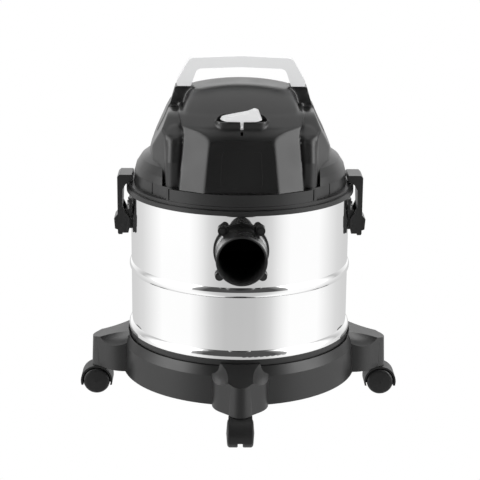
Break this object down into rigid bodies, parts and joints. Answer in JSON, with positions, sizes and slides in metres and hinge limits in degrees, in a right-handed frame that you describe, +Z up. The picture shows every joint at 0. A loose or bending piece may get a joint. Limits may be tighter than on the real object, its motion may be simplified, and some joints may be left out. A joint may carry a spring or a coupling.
{
  "type": "shop vacuum",
  "caption": "Wet and dry drum shop vacuum with a polished steel tank on a caster dolly, a latched motor head with a carry handle and rocker switch, and a front hose inlet.",
  "frame": {"origin": "on the floor under the tank's axis", "axes": "+Z up, -Y out of the hose inlet at the front, +X to the right of a viewer who faces the front"},
  "size_m": [0.432, 0.432, 0.4653],
  "materials": {
    "polished_steel": "mirror polish",
    "plated_steel": "bright zinc plate",
    "dark_steel": "laminated core and wire",
    "black_plastic": "satin",
    "panel_plastic": "fine matt",
    "pale_plastic": "semi-gloss",
    "wheel_plastic": "satin",
    "bush_plastic": "smooth",
    "black_rubber": "matt",
    "foam": "open-cell foam",
    "copper_winding": "enamelled",
    "aluminium": "cast",
    "carbon": "matt"
  },
  "bodies": {
    "base": {"dolly_base": "black_plastic", "tank_screws": "plated_steel", "caster_bushes": "bush_plastic", "tank": "polished_steel", "inlet_fitting": "black_plastic", "inlet_gasket": "black_rubber", "inlet_screws": "plated_steel", "inlet_deflector": "black_plastic", "latch_bracket_left": "black_plastic", "latch_bracket_right": "black_plastic", "bracket_screws": "plated_steel", "latch_pin_left": "plated_steel", "latch_pin_right": "plated_steel", "lid": "black_plastic", "lid_seal": "black_rubber", "motor_cover": "black_plastic", "front_panel": "panel_plastic", "handle": "pale_plastic", "head_screws": "plated_steel", "switch_body": "black_plastic", "motor_stator": "dark_steel", "motor_frame": "aluminium", "motor_bearings": "dark_steel", "fan_housing": "aluminium", "motor_mount_ring": "black_rubber", "filter_cage": "black_plastic", "filter_sleeve": "foam", "exhaust_grille": "black_plastic", "cord_gland": "black_rubber", "carbon_brushes": "carbon"},
    "latch_left": {"latch_lever_left": "black_plastic", "latch_wire_left": "plated_steel"},
    "latch_right": {"latch_lever_right": "black_plastic", "latch_wire_right": "plated_steel"},
    "rocker": {"switch_rocker": "pale_plastic"},
    "rotor": {"motor_shaft": "dark_steel", "armature": "copper_winding", "impeller": "aluminium", "impeller_nut": "plated_steel"},
    "float": {"float": "pale_plastic"},
    "caster_front": {"caster_hood_front": "wheel_plastic", "caster_stem_front": "plated_steel", "caster_axle_front": "plated_steel"},
    "wheel_front_left": {"wheel_front_left": "wheel_plastic"},
    "wheel_front_right": {"wheel_front_right": "wheel_plastic"},
    "caster_right": {"caster_hood_right": "wheel_plastic", "caster_stem_right": "plated_steel", "caster_axle_right": "plated_steel"},
    "wheel_right_left": {"wheel_right_left": "wheel_plastic"},
    "wheel_right_right": {"wheel_right_right": "wheel_plastic"},
    "caster_rear": {"caster_hood_rear": "wheel_plastic", "caster_stem_rear": "plated_steel", "caster_axle_rear": "plated_steel"},
    "wheel_rear_left": {"wheel_rear_left": "wheel_plastic"},
    "wheel_rear_right": {"wheel_rear_right": "wheel_plastic"},
    "caster_left": {"caster_hood_left": "wheel_plastic", "caster_stem_left": "plated_steel", "caster_axle_left": "plated_steel"},
    "wheel_left_left": {"wheel_left_left": "wheel_plastic"},
    "wheel_left_right": {"wheel_left_right": "wheel_plastic"}
  },
  "joints": [
    {"name": "latch_left_turn", "type": "hinge", "parent": "base", "child": "latch_left", "pos_m": [-0.149, 0, 0.245], "axis": [0, -1, 0], "range_deg": [0, 12], "stiffness_Nm_per_rad": 0.5, "springref_deg": -11.46},
    {"name": "latch_right_turn", "type": "hinge", "parent": "base", "child": "latch_right", "pos_m": [0.149, 0, 0.245], "axis": [0, 1, 0], "range_deg": [0, 12], "stiffness_Nm_per_rad": 0.5, "springref_deg": -11.46},
    {"name": "switch_rock", "type": "hinge", "parent": "base", "child": "rocker", "pos_m": [0, -0.101, 0.392], "axis": [0, 1, 0], "range_deg": [0, 24]},
    {"name": "rotor_spin", "type": "hinge", "parent": "base", "child": "rotor", "pos_m": [0, 0, 0.36], "axis": [0, 0, 1], "continuous": true},
    {"name": "float_lift", "type": "slide", "parent": "base", "child": "float", "axis": [0, 0, 1], "range_m": [0, 0.041]},
    {"name": "caster_front_swivel", "type": "hinge", "parent": "base", "child": "caster_front", "pos_m": [0, -0.185, 0.05], "axis": [0, 0, 1], "continuous": true},
    {"name": "wheel_front_left_roll", "type": "hinge", "parent": "caster_front", "child": "wheel_front_left", "pos_m": [0, -0.1944, 0.018], "axis": [1, 0, 0], "continuous": true},
    {"name": "wheel_front_right_roll", "type": "hinge", "parent": "caster_front", "child": "wheel_front_right", "pos_m": [0, -0.1944, 0.018], "axis": [1, 0, 0], "continuous": true},
    {"name": "caster_right_swivel", "type": "hinge", "parent": "base", "child": "caster_right", "pos_m": [0.185, 0, 0.05], "axis": [0, 0, 1], "continuous": true},
    {"name": "wheel_right_left_roll", "type": "hinge", "parent": "caster_right", "child": "wheel_right_left", "pos_m": [0.1944, 0, 0.018], "axis": [0, 1, 0], "continuous": true},
    {"name": "wheel_right_right_roll", "type": "hinge", "parent": "caster_right", "child": "wheel_right_right", "pos_m": [0.1944, 0, 0.018], "axis": [0, 1, 0], "continuous": true},
    {"name": "caster_rear_swivel", "type": "hinge", "parent": "base", "child": "caster_rear", "pos_m": [0, 0.185, 0.05], "axis": [0, 0, 1], "continuous": true},
    {"name": "wheel_rear_left_roll", "type": "hinge", "parent": "caster_rear", "child": "wheel_rear_left", "pos_m": [0, 0.1944, 0.018], "axis": [1, 0, 0], "continuous": true},
    {"name": "wheel_rear_right_roll", "type": "hinge", "parent": "caster_rear", "child": "wheel_rear_right", "pos_m": [0, 0.1944, 0.018], "axis": [1, 0, 0], "continuous": true},
    {"name": "caster_left_swivel", "type": "hinge", "parent": "base", "child": "caster_left", "pos_m": [-0.185, 0, 0.05], "axis": [0, 0, 1], "continuous": true},
    {"name": "wheel_left_left_roll", "type": "hinge", "parent": "caster_left", "child": "wheel_left_left", "pos_m": [-0.1944, 0, 0.018], "axis": [0, 1, 0], "continuous": true},
    {"name": "wheel_left_right_roll", "type": "hinge", "parent": "caster_left", "child": "wheel_left_right", "pos_m": [-0.1944, 0, 0.018], "axis": [0, 1, 0], "continuous": true}
  ]
}
